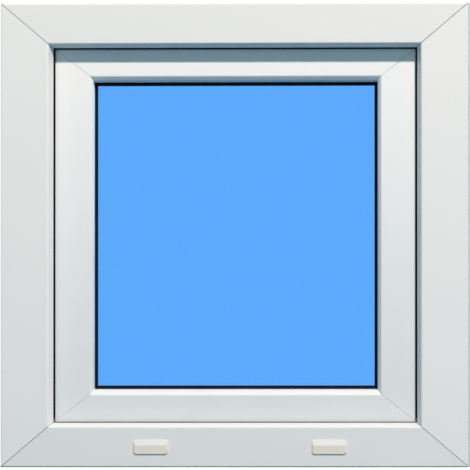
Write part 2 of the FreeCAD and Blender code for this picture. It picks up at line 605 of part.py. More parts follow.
def build_seals():
    """Continuous seals of the frame, of the sash and of the outer pane."""
    frame_seal = seal_outline(FRAME_SEAL_GROOVE, LIP_DEPTH - SEAL_GROOVE_DEPTH, LIP_DEPTH, SASH_FRONT,
                              SASH_BACK + EDGE_RADIUS, SASH_FACE_START)
    sash_seal = seal_outline(SASH_SEAL_GROOVE, FLANGE_BACK + SEAL_GROOVE_DEPTH, FLANGE_BACK, FRAME_DEPTH,
                             FLANGE_TIP + EDGE_RADIUS, REBATE_FLOOR - EDGE_RADIUS / 2.0)
    return {"frame_gasket": ring(frame_seal), "sash_gasket": ring(sash_seal),
            "glazing_gasket": ring(glazing_seal_outline())}


def build_glazing():
    """Two panes, the spacer bar between them, and the beads with their seals."""
    nodes = {"outer_pane": pane(OUTER_PANE_FRONT), "inner_pane": pane(INNER_PANE_FRONT),
             "spacer_bar": ring(spacer_outline())}
    names = {"head": "top", "sill": "bottom", "left": "left", "right": "right"}
    for side in SIDES:
        nodes["glazing_bead_" + names[side]] = member(side, bead_outline(), mitre=BEAD_MITRE)
        nodes["bead_gasket_" + names[side]] = member(side, bead_seal_outline(), mitre=BEAD_MITRE)
    return nodes


def build_fittings():
    """Drain caps, handle and hinges."""
    bottom = KNUCKLE_FROM_EDGE
    top = HEIGHT - KNUCKLE_FROM_EDGE
    return {"drain_cap_left": drain_cap(CAP_LEFT_X), "drain_cap_right": drain_cap(CAP_RIGHT_X),
            "handle_rosette": handle_rosette(), "handle_lever": handle_lever(),
            "corner_bearing": frame_knuckle(bottom),
            "corner_band": sash_knuckle(bottom + FRAME_KNUCKLE_LENGTH + KNUCKLE_GAP),
            "stay_bearing": frame_knuckle(top - FRAME_KNUCKLE_LENGTH),
            "stay_band": sash_knuckle(top - FRAME_KNUCKLE_LENGTH - KNUCKLE_GAP - SASH_KNUCKLE_LENGTH)}


def main():
    os.makedirs("parts", exist_ok=True)
    nodes = {**build_frame(), **build_sash(), **build_seals(), **build_glazing(), **build_fittings()}
    for name, solid in nodes.items():
        solid.exportStep(os.path.join("parts", name + ".step"))
        print(name, "valid" if solid.isValid() else "NOT VALID", round(solid.Volume), len(solid.Faces))


main()
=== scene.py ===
"""Looks, light and camera for the tilt and turn window."""
from __future__ import annotations

import json
import logging
import math
from dataclasses import dataclass, field
from enum import Enum
from typing import Any, Dict, Iterable, List, Tuple

import bpy
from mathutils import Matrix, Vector

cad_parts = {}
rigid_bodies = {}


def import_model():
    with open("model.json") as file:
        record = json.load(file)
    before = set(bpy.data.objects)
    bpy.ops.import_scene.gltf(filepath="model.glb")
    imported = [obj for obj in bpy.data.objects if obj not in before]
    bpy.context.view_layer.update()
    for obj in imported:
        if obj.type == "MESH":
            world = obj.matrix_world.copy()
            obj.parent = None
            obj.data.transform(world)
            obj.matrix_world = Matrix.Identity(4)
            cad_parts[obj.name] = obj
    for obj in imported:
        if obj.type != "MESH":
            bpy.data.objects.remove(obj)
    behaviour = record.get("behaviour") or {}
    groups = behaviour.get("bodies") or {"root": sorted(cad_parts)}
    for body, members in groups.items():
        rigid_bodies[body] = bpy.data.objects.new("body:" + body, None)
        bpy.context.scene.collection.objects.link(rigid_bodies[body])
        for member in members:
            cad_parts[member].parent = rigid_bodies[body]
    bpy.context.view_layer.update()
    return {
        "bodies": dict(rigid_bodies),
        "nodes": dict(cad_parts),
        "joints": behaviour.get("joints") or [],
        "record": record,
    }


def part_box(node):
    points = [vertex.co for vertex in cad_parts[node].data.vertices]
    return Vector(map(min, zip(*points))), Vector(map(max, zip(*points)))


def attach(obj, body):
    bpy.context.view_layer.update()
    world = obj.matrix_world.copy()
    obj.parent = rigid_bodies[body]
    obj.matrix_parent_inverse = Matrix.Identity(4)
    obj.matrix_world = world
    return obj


LOG = logging.getLogger("window")
Colour = Tuple[float, float, float]
ORIGIN = (0.0, 0.0, 0.0)
WHITE = (1.0, 1.0, 1.0)
# Share of a drain cap's height at which its ridge lies
CAP_RIDGE_SHARE = 0.61
# Width of the black seal that shows between the lip and the sash, in metres
FRAME_SEAL_SHOW = 0.0024
# Rise over run of the mitres on the sash's face
SASH_MITRE_SLOPE = 0.775
# Turn between faces, in degrees, up to which a small piece is shaded smooth
SMOOTH_ANGLE = 35.0


class Run(Enum):
    """The way a bar was extruded, which its die lines follow."""

    LEVEL = (0.05, 1.0, 1.0)
    UPRIGHT = (1.0, 1.0, 0.05)


class Facing(Enum):
    """The way a small piece points, as a turn about X from standing up."""

    UP = 0.0
    DOWN = math.pi
    ROOM = -math.pi / 2.0


def rgba(colour: Colour) -> Tuple[float, float, float, float]:
    """The colour with full alpha, as a node socket wants it."""
    return (colour[0], colour[1], colour[2], 1.0)


@dataclass(frozen=True)
class Mitre:
    """The line that the corners of a frame are cut on, from its outer corner inwards.

    Attributes:
        half_width: Half the width of the frame that the line starts from.
        half_depth: Half its depth.
        half_height: Half its height.
        slope: Rise of the line over its run.
    """

    half_width: float
    half_depth: float
    half_height: float
    slope: float

    def turn(self, across: float, slope: float) -> Mitre:
        """The line that leaves this one at some point with another slope.

        Args:
            across: How far in from the frame's side the point lies.
            slope: The new slope.

        Returns:
            The new line, as if it had started from a frame of another width.
        """
        start = self.half_width + across * (self.slope / slope - 1.0)
        return Mitre(start, self.half_depth, self.half_height, slope)


@dataclass
class NodeBench:
    """Adds and joins the nodes of one tree.

    Attributes:
        tree: The material's, world's or group's node tree.
    """

    tree: bpy.types.NodeTree

    def add(self, kind: str, **values: Any) -> bpy.types.Node:
        """Adds a node.

        Args:
            kind: The node's type name.
            **values: Properties of the node, set as they are named.

        Returns:
            The new node.
        """
        node = self.tree.nodes.new(kind)
        for name, value in values.items():
            setattr(node, name, value)
        return node

    def set(self, node: bpy.types.Node, **values: Any) -> None:
        """Sets input sockets by name, with spaces written as underscores.

        Args:
            node: The node whose sockets are set.
            **values: The socket values.
        """
        for name, value in values.items():
            node.inputs[name.replace("_", " ")].default_value = value

    def join(self, source: bpy.types.NodeSocket, target: bpy.types.NodeSocket) -> None:
        """Links one socket to another."""
        self.tree.links.new(source, target)

    def split(self, vector: bpy.types.NodeSocket) -> bpy.types.Node:
        """Adds a node that gives a vector's X, Y and Z.

        Args:
            vector: The vector's socket.

        Returns:
            The node.
        """
        node = self.add("ShaderNodeSeparateXYZ")
        self.join(vector, node.inputs[0])
        return node

    def maths(self, operation: str, first: Any, second: Any = 0.0) -> bpy.types.NodeSocket:
        """Adds a maths node.

        Args:
            operation: The node's operation.
            first: A socket or a number.
            second: A socket or a number.

        Returns:
            The node's output socket.
        """
        node = self.add("ShaderNodeMath", operation=operation)
        for socket, value in zip(node.inputs, (first, second)):
            if isinstance(value, bpy.types.NodeSocket):
                self.join(value, socket)
            else:
                socket.default_value = value
        return node.outputs[0]

    def blend(self, factor: bpy.types.NodeSocket, first: Any, second: Any) -> bpy.types.NodeSocket:
        """Adds a colour mix.

        Args:
            factor: The socket that drives the mix.
            first: A colour or a colour socket, shown at 0.
            second: A colour or a colour socket, shown at 1.

        Returns:
            The mixed colour's socket.
        """
        node = self.add("ShaderNodeMix", data_type="RGBA")
        self.join(factor, node.inputs[0])
        for socket, value in zip((node.inputs[6], node.inputs[7]), (first, second)):
            if isinstance(value, bpy.types.NodeSocket):
                self.join(value, socket)
            else:
                socket.default_value = rgba(value)
        return node.outputs[2]


class SurfaceGroups:
    """Shader node groups that more than one finish uses.

    Attributes:
        CLOUD_LEAST: Thickness of the low mask (painted shade on the plastic, dust on the rubber) where it
            is thinnest, as a share of its plain thickness.
        CLOUD_SWING: How much thicker it is where it is thickest.
    """

    CLOUD_LEAST = 0.8
    CLOUD_SWING = 0.4

    def __init__(self) -> None:
        """Builds each group once."""
        self.grain = self._build_grain()
        self.tone = self._build_tone()
        self.seam = self._build_seam()
        self.low_shade_and_dust = self._build_low_shade_and_dust()

    @staticmethod
    def _start(name: str, inputs: Iterable[Tuple[str, str, float]], outputs: Iterable[str]
               ) -> Tuple[bpy.types.NodeTree, NodeBench, bpy.types.Node, bpy.types.Node]:
        """Makes an empty group with its sockets.

        Args:
            name: The group's name.
            inputs: Name, socket type and first value of each input.
            outputs: Names of the value outputs.

        Returns:
            The tree, a bench for it, and its input and output nodes.
        """
        tree = bpy.data.node_groups.new(name, "ShaderNodeTree")
        for label, kind, value in inputs:
            socket = tree.interface.new_socket(label, in_out="INPUT", socket_type=kind)
            if kind == "NodeSocketFloat":
                socket.default_value = value
        for label in outputs:
            tree.interface.new_socket(label, in_out="OUTPUT", socket_type="NodeSocketFloat")
        bench = NodeBench(tree)
        return tree, bench, bench.add("NodeGroupInput"), bench.add("NodeGroupOutput")

    def _build_grain(self) -> bpy.types.NodeTree:
        """Fine moulded grain: a height for bumps and a value that varies the roughness.

        Returns:
            The group.
        """
        inputs = [("Vector", "NodeSocketVector", 0.0), ("Scale", "NodeSocketFloat", 900.0)]
        tree, bench, inlet, outlet = self._start("fine_grain", inputs, ["Height", "Variation"])
        fine = bench.add("ShaderNodeTexNoise")
        bench.set(fine, Detail=3.0, Roughness=0.6)
        broad = bench.add("ShaderNodeTexNoise")
        bench.set(broad, Scale=26.0, Detail=4.0, Roughness=0.55)
        for node in (fine, broad):
            bench.join(inlet.outputs["Vector"], node.inputs["Vector"])
        bench.join(inlet.outputs["Scale"], fine.inputs["Scale"])
        bench.join(fine.outputs["Fac"], outlet.inputs["Height"])
        bench.join(broad.outputs["Fac"], outlet.inputs["Variation"])
        return tree

    def _build_tone(self) -> bpy.types.NodeTree:
        """Slow changes of tone over a surface, with streaks along the way the vector is stretched.

        Returns:
            The group.
        """
        inputs = [("Vector", "NodeSocketVector", 0.0), ("Streaks", "NodeSocketFloat", 0.5)]
        tree, bench, inlet, outlet = self._start("slow_tone", inputs, ["Tone"])
        slow = bench.add("ShaderNodeTexNoise")
        bench.set(slow, Scale=7.0, Detail=3.0, Roughness=0.5)
        streak = bench.add("ShaderNodeTexNoise")
        bench.set(streak, Scale=220.0, Detail=2.0, Roughness=0.5)
        for node in (slow, streak):
            bench.join(inlet.outputs["Vector"], node.inputs["Vector"])
        share = bench.maths("MULTIPLY", streak.outputs["Fac"], inlet.outputs["Streaks"])
        rest = bench.maths("SUBTRACT", 1.0, inlet.outputs["Streaks"])
        body = bench.maths("MULTIPLY", slow.outputs["Fac"], rest)
        bench.join(bench.maths("ADD", share, body), outlet.inputs["Tone"])
        return tree

    def _build_seam(self) -> bpy.types.NodeTree:
        """Where dust lies along each mitre, and where shade is painted on a frame's outer sides and in
        their grooves.

        Returns:
            The group.
        """
        inputs = [("Vector", "NodeSocketVector", 0.0)]
        labels = ("Half Width", "Half Depth", "Half Height", "Slope", "Reach", "Groove")
        inputs += [(label, "NodeSocketFloat", 0.0) for label in labels]
        tree, bench, inlet, outlet = self._start("mitre_dust_and_side_shade", inputs, ["Dust", "Side"])
        split = bench.split(inlet.outputs["Vector"])
        aside = bench.maths("ABSOLUTE", split.outputs["X"])
        across = bench.maths("SUBTRACT", inlet.outputs["Half Width"], aside)
        level = bench.maths("SUBTRACT", split.outputs["Z"], inlet.outputs["Half Height"])
        along = bench.maths("SUBTRACT", inlet.outputs["Half Height"], bench.maths("ABSOLUTE", level))
        line = bench.maths("MULTIPLY", across, inlet.outputs["Slope"])
        off = bench.maths("ABSOLUTE", bench.maths("SUBTRACT", along, line))
        near = bench.maths("SUBTRACT", 1.0, bench.maths("DIVIDE", off, inlet.outputs["Reach"]))
        bench.join(bench.maths("MAXIMUM", near, 0.0), outlet.inputs["Dust"])
        # Painted shade: marks the outer sides and their grooves, fading in behind the front and back edges
        outside = bench.maths("LESS_THAN", bench.maths("MINIMUM", across, along), inlet.outputs["Groove"])
        depth = bench.maths("ABSOLUTE", split.outputs["Y"])
        behind = bench.maths("SUBTRACT", inlet.outputs["Half Depth"], depth)
        inside = bench.maths("MINIMUM", bench.maths("DIVIDE", behind, inlet.outputs["Reach"]), 1.0)
        side = bench.maths("MULTIPLY", outside, bench.maths("MAXIMUM", inside, 0.0))
        bench.join(side, outlet.inputs["Side"])
        return tree

    def _build_low_shade_and_dust(self) -> bpy.types.NodeTree:
        """A cloudy mask low down, nothing at the top height and most at the bottom: painted cool shade on
        the plastic, and dust on the seal rubber.

        Returns:
            The group.
        """
        inputs = [("Vector", "NodeSocketVector", 0.0), ("Top", "NodeSocketFloat", 0.5),
                  ("Share", "NodeSocketFloat", 0.5)]
        tree, bench, inlet, outlet = self._start("low_shade_and_dust_mask", inputs, ["Film"])
        split = bench.split(inlet.outputs["Vector"])
        height = bench.maths("DIVIDE", split.outputs["Z"], inlet.outputs["Top"])
        depth = bench.maths("MAXIMUM", bench.maths("SUBTRACT", 1.0, height), 0.0)
        cloud = bench.add("ShaderNodeTexNoise")
        bench.set(cloud, Scale=9.0, Detail=4.0, Roughness=0.6)
        bench.join(inlet.outputs["Vector"], cloud.inputs["Vector"])
        swing = bench.maths("MULTIPLY", cloud.outputs["Fac"], self.CLOUD_SWING)
        uneven = bench.maths("ADD", swing, self.CLOUD_LEAST)
        thick = bench.maths("MULTIPLY", depth, uneven)
        bench.join(bench.maths("MULTIPLY", thick, inlet.outputs["Share"]), outlet.inputs["Film"])
        return tree


@dataclass(frozen=True)
class Finish:
    """What every finish has.

    Attributes:
        name: The material's name.
    """

    name: str

    def start(self) -> Tuple[bpy.types.Material, NodeBench, bpy.types.Node]:
        """Makes a material with one Principled shader.

        Returns:
            The material, a bench for its tree and the shader.
        """
        material = bpy.data.materials.new(self.name)
        material.use_nodes = True
        bench = NodeBench(material.node_tree)
        shader = material.node_tree.nodes["Principled BSDF"]
        return material, bench, shader

    @staticmethod
    def place(bench: NodeBench, stretch: Tuple[float, float, float] = (1.0, 1.0, 1.0)
              ) -> bpy.types.NodeSocket:
        """Adds Object coordinates.

        Args:
            bench: The material's bench.
            stretch: Scale of the coordinates on each axis.

        Returns:
            The coordinates' socket.
        """
        source = bench.add("ShaderNodeTexCoord")
        mapping = bench.add("ShaderNodeMapping")
        bench.set(mapping, Scale=stretch)
        bench.join(source.outputs["Object"], mapping.inputs["Vector"])
        return mapping.outputs["Vector"]

    @staticmethod
    def group(bench: NodeBench, tree: bpy.types.NodeTree, vector: bpy.types.NodeSocket,
              **values: float) -> bpy.types.Node:
        """Places a shared effect.

        Args:
            bench: The material's bench.
            tree: The effect's group.
            vector: The coordinates it reads.
            **values: Its other inputs.

        Returns:
            The group node.
        """
        node = bench.add("ShaderNodeGroup", node_tree=tree)
        bench.join(vector, node.inputs["Vector"])
        bench.set(node, **values)
        return node

    @staticmethod
    def emboss(bench: NodeBench, shader: bpy.types.Node, height: bpy.types.NodeSocket,
               **values: float) -> None:
        """Lets a height show as bumps.

        Args:
            bench: The material's bench.
            shader: The shader that gets the bumps.
            height: The height's socket.
            **values: How strongly the bumps show, and their height in metres.
        """
        bump = bench.add("ShaderNodeBump")
        bench.set(bump, **values)
        bench.join(height, bump.inputs["Height"])
        bench.join(bump.outputs["Normal"], shader.inputs["Normal"])


@dataclass(frozen=True)
class Plastic(Finish):
    """Extruded or moulded plastic, or a powder coat: a pale body with fine grain.

    Attributes:
        light: Colour of the clean surface.
        shade: Colour of its slightly duller areas.
        roughness: Mean roughness.
        spread: How far the roughness varies.
        grain: Size of the grain, as a noise scale.
        bump: Height of the grain in metres.
        streaks: Share of the tone that runs in streaks.
        run: Direction of the streaks.
    """

    light: Colour = (0.8, 0.8, 0.8)
    shade: Colour = (0.76, 0.76, 0.76)
    roughness: float = 0.35
    spread: float = 0.12
    grain: float = 900.0
    bump: float = 0.00002
    streaks: float = 0.4
    run: Run = Run.UPRIGHT

    def colour(self, bench: NodeBench, groups: SurfaceGroups) -> bpy.types.NodeSocket:
        """The plastic's colour, with its slow changes of tone.

        Args:
            bench: The material's bench.
            groups: The shared effects.

        Returns:
            The colour's socket.
        """
        tone = self.group(bench, groups.tone, self.place(bench, self.run.value), Streaks=self.streaks)
        return bench.blend(tone.outputs["Tone"], self.light, self.shade)

    def make(self, groups: SurfaceGroups) -> bpy.types.Material:
        """Builds the material.

        Args:
            groups: The shared effects.

        Returns:
            The material.
        """
        material, bench, shader = self.start()
        grain = self.group(bench, groups.grain, self.place(bench), Scale=self.grain)
        bench.join(self.colour(bench, groups), shader.inputs["Base Color"])
        swing = bench.maths("MULTIPLY", grain.outputs["Variation"], self.spread)
        least = self.roughness - self.spread / 2.0
        bench.join(bench.maths("ADD", swing, least), shader.inputs["Roughness"])
        self.emboss(bench, shader, grain.outputs["Height"], Strength=0.4, Distance=self.bump)
        return material


@dataclass(frozen=True)
class WeldedPlastic(Plastic):
    """Plastic of a welded frame: dust along each mitre, painted shade on its outer sides, and painted cool
    shade low down and on ledges.

    Attributes:
        mitre: The line of the mitres.
        dust: Colour of the dust in the mitres.
        side: Colour of the painted shade on the outer sides.
        side_roughness: Roughness of the sides that carry the painted shade.
        low_shade_and_dust: Colour of the painted cool shade.
        low_painted_shade_share: How much of the painted shade there is at the bottom.
        ledge_painted_shade_share: How much more of it there is on a level top.
        reach: How far from a mitre the dust fades, and how far from the front and back corners the painted
            side shade fades, in metres.
        groove: Depth in from the outer sides down to which the painted shade reaches, into their grooves.
    """

    mitre: Mitre = Mitre(half_width=0.3, half_depth=0.035, half_height=0.3, slope=1.0)
    dust: Colour = (0.30, 0.32, 0.33)
    # Painted shade for the outer sides and their grooves
    side: Colour = (0.58, 0.61, 0.62)
    side_roughness: float = 1.0
    # Painted cool shade, darker and bluer, put low down and on upward slopes
    low_shade_and_dust: Colour = (0.59, 0.645, 0.675)
    low_painted_shade_share: float = 0.0
    ledge_painted_shade_share: float = 0.0
    reach: float = 0.0011
    groove: float = 0.006

    def seam(self, bench: NodeBench, groups: SurfaceGroups) -> bpy.types.Node:
        """Places the masks of the mitre dust and of the painted side shade.

        Args:
            bench: The material's bench.
            groups: The shared effects.

        Returns:
            The group node.
        """
        return self.group(bench, groups.seam, self.place(bench), Half_Width=self.mitre.half_width,
                          Half_Depth=self.mitre.half_depth, Half_Height=self.mitre.half_height,
                          Slope=self.mitre.slope, Reach=self.reach, Groove=self.groove)

    def painted_ledge_shade(self, bench: NodeBench) -> bpy.types.NodeSocket:
        """The share of painted shade that lies where the plastic slopes up.

        Args:
            bench: The material's bench.

        Returns:
            The share's socket.
        """
        split = bench.split(bench.add("ShaderNodeNewGeometry").outputs["Normal"])
        upward = bench.maths("MAXIMUM", split.outputs["Z"], 0.0)
        return bench.maths("MULTIPLY", upward, self.ledge_painted_shade_share)

    def colour(self, bench: NodeBench, groups: SurfaceGroups) -> bpy.types.NodeSocket:
        """The plastic's colour, with the painted shade and the dust over it.

        Args:
            bench: The material's bench.
            groups: The shared effects.

        Returns:
            The colour's socket.
        """
        top = 2.0 * self.mitre.half_height
        # Painted shade: a cooler, darker colour that grows towards the bottom and on faces that slope up
        low_shade_and_dust = self.group(bench, groups.low_shade_and_dust, self.place(bench), Top=top, Share=self.low_painted_shade_share)
        share = bench.maths("ADD", low_shade_and_dust.outputs["Film"], self.painted_ledge_shade(bench))
        with_low_shade = bench.blend(share, super().colour(bench, groups), self.low_shade_and_dust)
        seam = self.seam(bench, groups)
        # Paints the shade on the outer sides
        sided = bench.blend(seam.outputs["Side"], with_low_shade, self.side)
        return bench.blend(seam.outputs["Dust"], sided, self.dust)

    def make(self, groups: SurfaceGroups) -> bpy.types.Material:
        """Builds the material, rougher on the sides with the painted shade.

        Args:
            groups: The shared effects.

        Returns:
            The material.
        """
        material = super().make(groups)
        bench = NodeBench(material.node_tree)
        roughness = material.node_tree.nodes["Principled BSDF"].inputs["Roughness"]
        clean = roughness.links[0].from_socket
        side = self.seam(bench, groups).outputs["Side"]
        side_shade_roughness = bench.maths("MULTIPLY", side, self.side_roughness)
        bench.join(bench.maths("MAXIMUM", clean, side_shade_roughness), roughness)
        return material


@dataclass(frozen=True)
class ReflectionPaintedPlastic(Plastic):
    """Moulded plastic with a paler, cooler colour painted above a line where it slopes up: a painted
    reflection.

    Attributes:
        painted_reflection: Colour of the painted reflection.
        line: Height of the middle of the change, in metres.
        reach: Height over which it changes.
    """

    painted_reflection: Colour = (0.765, 0.77, 0.765)
    line: float = 0.03
    reach: float = 0.003

    def colour(self, bench: NodeBench, groups: SurfaceGroups) -> bpy.types.NodeSocket:
        """The plastic's colour, with the painted reflection above the line.

        Args:
            bench: The material's bench.
            groups: The shared effects.

        Returns:
            The colour's socket.
        """
        split = bench.split(self.place(bench))
        ramp = bench.add("ShaderNodeMapRange", interpolation_type="SMOOTHSTEP")
        bench.join(split.outputs["Z"], ramp.inputs["Value"])
        bench.set(ramp, From_Min=self.line - self.reach / 2.0, From_Max=self.line + self.reach / 2.0)
        # Painted reflection: a paler, cooler colour above the ridge line
        return bench.blend(ramp.outputs["Result"], super().colour(bench, groups), self.painted_reflection)


@dataclass(frozen=True)
class Rubber(Finish):
    """Black seal rubber with a faint grey bloom.

    Attributes:
        body: Colour of the rubber.
        bloom: Colour of the bloom.
        roughness: Roughness of the rubber.
        gloss: Specular level of the rubber.
        grain: Size of the grain, as a noise scale.
        bump: Height of the grain in metres.
    """

    body: Colour = (0.002, 0.003, 0.009)
    bloom: Colour = (0.005, 0.006, 0.014)
    roughness: float = 0.8
    gloss: float = 0.08
    grain: float = 1400.0
    bump: float = 0.00003

    def colour(self, bench: NodeBench, groups: SurfaceGroups, variation: bpy.types.NodeSocket
               ) -> bpy.types.NodeSocket:
        """The rubber's colour, uneven from the bloom.

        Args:
            bench: The material's bench.
            groups: The shared effects.
            variation: Where the bloom is.

        Returns:
            The colour's socket.
        """
        return bench.blend(variation, self.body, self.bloom)

    def make(self, groups: SurfaceGroups) -> bpy.types.Material:
        """Builds the material.

        Args:
            groups: The shared effects.

        Returns:
            The material.
        """
        material, bench, shader = self.start()
        grain = self.group(bench, groups.grain, self.place(bench), Scale=self.grain)
        bench.join(self.colour(bench, groups, grain.outputs["Variation"]), shader.inputs["Base Color"])
        bench.set(shader, Roughness=self.roughness, Specular_IOR_Level=self.gloss)
        self.emboss(bench, shader, grain.outputs["Height"], Strength=0.5, Distance=self.bump)
        return material


@dataclass(frozen=True)
class DustyRubber(Rubber):
    """Seal rubber of the weather side, with dust that has settled on its lowest run.

    Attributes:
        sill_top: Height of the sill's top edge, which the dust lies behind.
        reach: How far above that edge the dust is seen, in metres.
        share: How fast the dust thickens below that.
        dust: Colour of the dust.
    """

    sill_top: float = 0.056
    reach: float = 0.008
    share: float = 4.0
    dust: Colour = (0.50, 0.49, 0.46)

    def colour(self, bench: NodeBench, groups: SurfaceGroups, variation: bpy.types.NodeSocket
               ) -> bpy.types.NodeSocket:
        """The rubber's colour, with the dust over it.

        Args:
            bench: The material's bench.
            groups: The shared effects.
            variation: Where the bloom is.

        Returns:
            The colour's socket.
        """
        top = self.sill_top + self.reach
        low_shade_and_dust = self.group(bench, groups.low_shade_and_dust, self.place(bench), Top=top, Share=self.share)
        return bench.blend(low_shade_and_dust.outputs["Film"], super().colour(bench, groups, variation), self.dust)


@dataclass(frozen=True)
class TintedGlass(Finish):
    """Smooth glass with a blue body tint.

    Attributes:
        tint: Colour that light takes on through one pane.
        deepest: Share of the tint's brightness where it is deepest.
        waves: Size of its slow changes of tint, as a noise scale.
        ior: Index of refraction.
    """

    tint: Colour = (0.275, 0.62, 1.0)
    deepest: float = 0.985
    waves: float = 30.0
    ior: float = 1.45

    def make(self, groups: SurfaceGroups) -> bpy.types.Material:
        """Builds the material.

        Args:
            groups: The shared effects.

        Returns:
            The material.
        """
        material, bench, shader = self.start()
        grain = self.group(bench, groups.grain, self.place(bench), Scale=self.waves)
        deeper = tuple(self.deepest * part for part in self.tint)
        tone = bench.blend(grain.outputs["Variation"], self.tint, deeper)
        bench.join(tone, shader.inputs["Base Color"])
        bench.set(shader, Roughness=0.0, IOR=self.ior, Transmission_Weight=1.0)
        return material


@dataclass(frozen=True)
class SpacerMetal(Finish):
    """Rolled aluminium with fine lines along the bar, and a row of small holes to its drying agent whose
    dark insides are painted shade.

    Attributes:
        body: Colour of the metal.
        shade: Share of its brightness in its darker lines.
        hole: Colour of the painted shade inside the holes.
        roughness: Mean roughness.
        row_y: Where the row of holes lies across the bar.
        pitch: Metres from hole to hole.
        radius: Radius of a hole.
    """

    body: Colour = (0.62, 0.63, 0.65)
    shade: float = 0.8
    hole: Colour = (0.05, 0.05, 0.05)
    roughness: float = 0.38
    row_y: float = 0.0
    pitch: float = 0.005
    radius: float = 0.0005

    def holes(self, bench: NodeBench) -> bpy.types.NodeSocket:
        """A mask that is one inside the holes.

        Args:
            bench: The material's bench.

        Returns:
            The mask's socket.
        """
        split = bench.split(self.place(bench))
        run = bench.maths("ADD", split.outputs["X"], split.outputs["Z"])
        step = bench.maths("FRACT", bench.maths("DIVIDE", run, self.pitch))
        along = bench.maths("MULTIPLY", bench.maths("SUBTRACT", step, 0.5), self.pitch)
        across = bench.maths("SUBTRACT", split.outputs["Y"], self.row_y)
        squares = [bench.maths("POWER", part, 2.0) for part in (along, across)]
        return bench.maths("LESS_THAN", bench.maths("ADD", *squares), self.radius ** 2)

    def make(self, groups: SurfaceGroups) -> bpy.types.Material:
        """Builds the material.

        Args:
            groups: The shared effects.

        Returns:
            The material.
        """
        material, bench, shader = self.start()
        tone = self.group(bench, groups.tone, self.place(bench), Streaks=0.7)
        darker = tuple(self.shade * part for part in self.body)
        metal = bench.blend(tone.outputs["Tone"], self.body, darker)
        # Painted shade: each hole is a dark disc in the colour, not a cut
        bench.join(bench.blend(self.holes(bench), metal, self.hole), shader.inputs["Base Color"])
        bench.set(shader, Metallic=1.0, Roughness=self.roughness)
        return material


@dataclass
class FinishSet:
    """Every material of the window, made once.

    Attributes:
        frame_mitre: The line of the outer frame's mitres.
        sash_mitre: The line of the sash's mitres.
        cavity_y: Middle of the space between the panes.
        cap_line: Height of the ridge of the drain caps.
        sill_top: Height of the sill's top edge.
        groups: The shared effects.
    """

    frame_mitre: Mitre
    sash_mitre: Mitre
    cavity_y: float
    cap_line: float
    sill_top: float
    groups: SurfaceGroups = field(default_factory=SurfaceGroups)

    def __post_init__(self) -> None:
        """Makes the materials."""
        # One white plastic in three whites, set bar by bar to how each is lit: painted light on the sash
        # and its beads, painted shade on the level bars against the uprights
        rail_white = dict(light=(0.808, 0.812, 0.810), shade=(0.780, 0.784, 0.782))
        jamb_white = dict(light=(0.830, 0.830, 0.826), shade=(0.803, 0.804, 0.800))
        sash_white = dict(light=(0.925, 0.925, 0.920), shade=(0.898, 0.899, 0.894))
        # The level bars and the sash get painted cool shade low down, and the level bars also on their
        # upward slopes
        rail = dict(mitre=self.frame_mitre, low_painted_shade_share=0.22, ledge_painted_shade_share=0.3, **rail_white)
        jamb = dict(mitre=self.frame_mitre, low_painted_shade_share=0.1, **jamb_white)
        sash = dict(mitre=self.sash_mitre, dust=(0.68, 0.70, 0.70), low_painted_shade_share=0.75, **sash_white)
        self.frame_rail = WeldedPlastic("frame_plastic_level", run=Run.LEVEL, **rail).make(self.groups)
        self.frame_jamb = WeldedPlastic("frame_plastic_upright", run=Run.UPRIGHT, **jamb).make(self.groups)
        self.sash_rail = WeldedPlastic("sash_plastic_level", run=Run.LEVEL, **sash).make(self.groups)
        self.sash_stile = WeldedPlastic("sash_plastic_upright", run=Run.UPRIGHT, **sash).make(self.groups)
        self.level_bead = Plastic("bead_plastic_level", run=Run.LEVEL, **sash_white).make(self.groups)
        self.upright_bead = Plastic("bead_plastic_upright", run=Run.UPRIGHT, **sash_white).make(self.groups)
        self.rubber = Rubber("seal_rubber").make(self.groups)
        self.dusty_rubber = DustyRubber("dusty_seal_rubber", sill_top=self.sill_top).make(self.groups)
        self.glass = TintedGlass("blue_glass").make(self.groups)
        self.spacer = SpacerMetal("spacer_metal", row_y=self.cavity_y).make(self.groups)
        self.cap = ReflectionPaintedPlastic("bone_plastic", light=(0.845, 0.785, 0.695), shade=(0.815, 0.755, 0.665),
                                  roughness=0.45, streaks=0.1, line=self.cap_line).make(self.groups)
        self.coating = Plastic("white_coating", light=(0.82, 0.82, 0.81), shade=(0.79, 0.79, 0.78),
                               roughness=0.3, grain=600.0, bump=0.00004, streaks=0.0).make(self.groups)
        self.cover = Plastic("hinge_cover_plastic", light=(0.80, 0.80, 0.79), shade=(0.77, 0.77, 0.76),
                             roughness=0.4, streaks=0.0).make(self.groups)


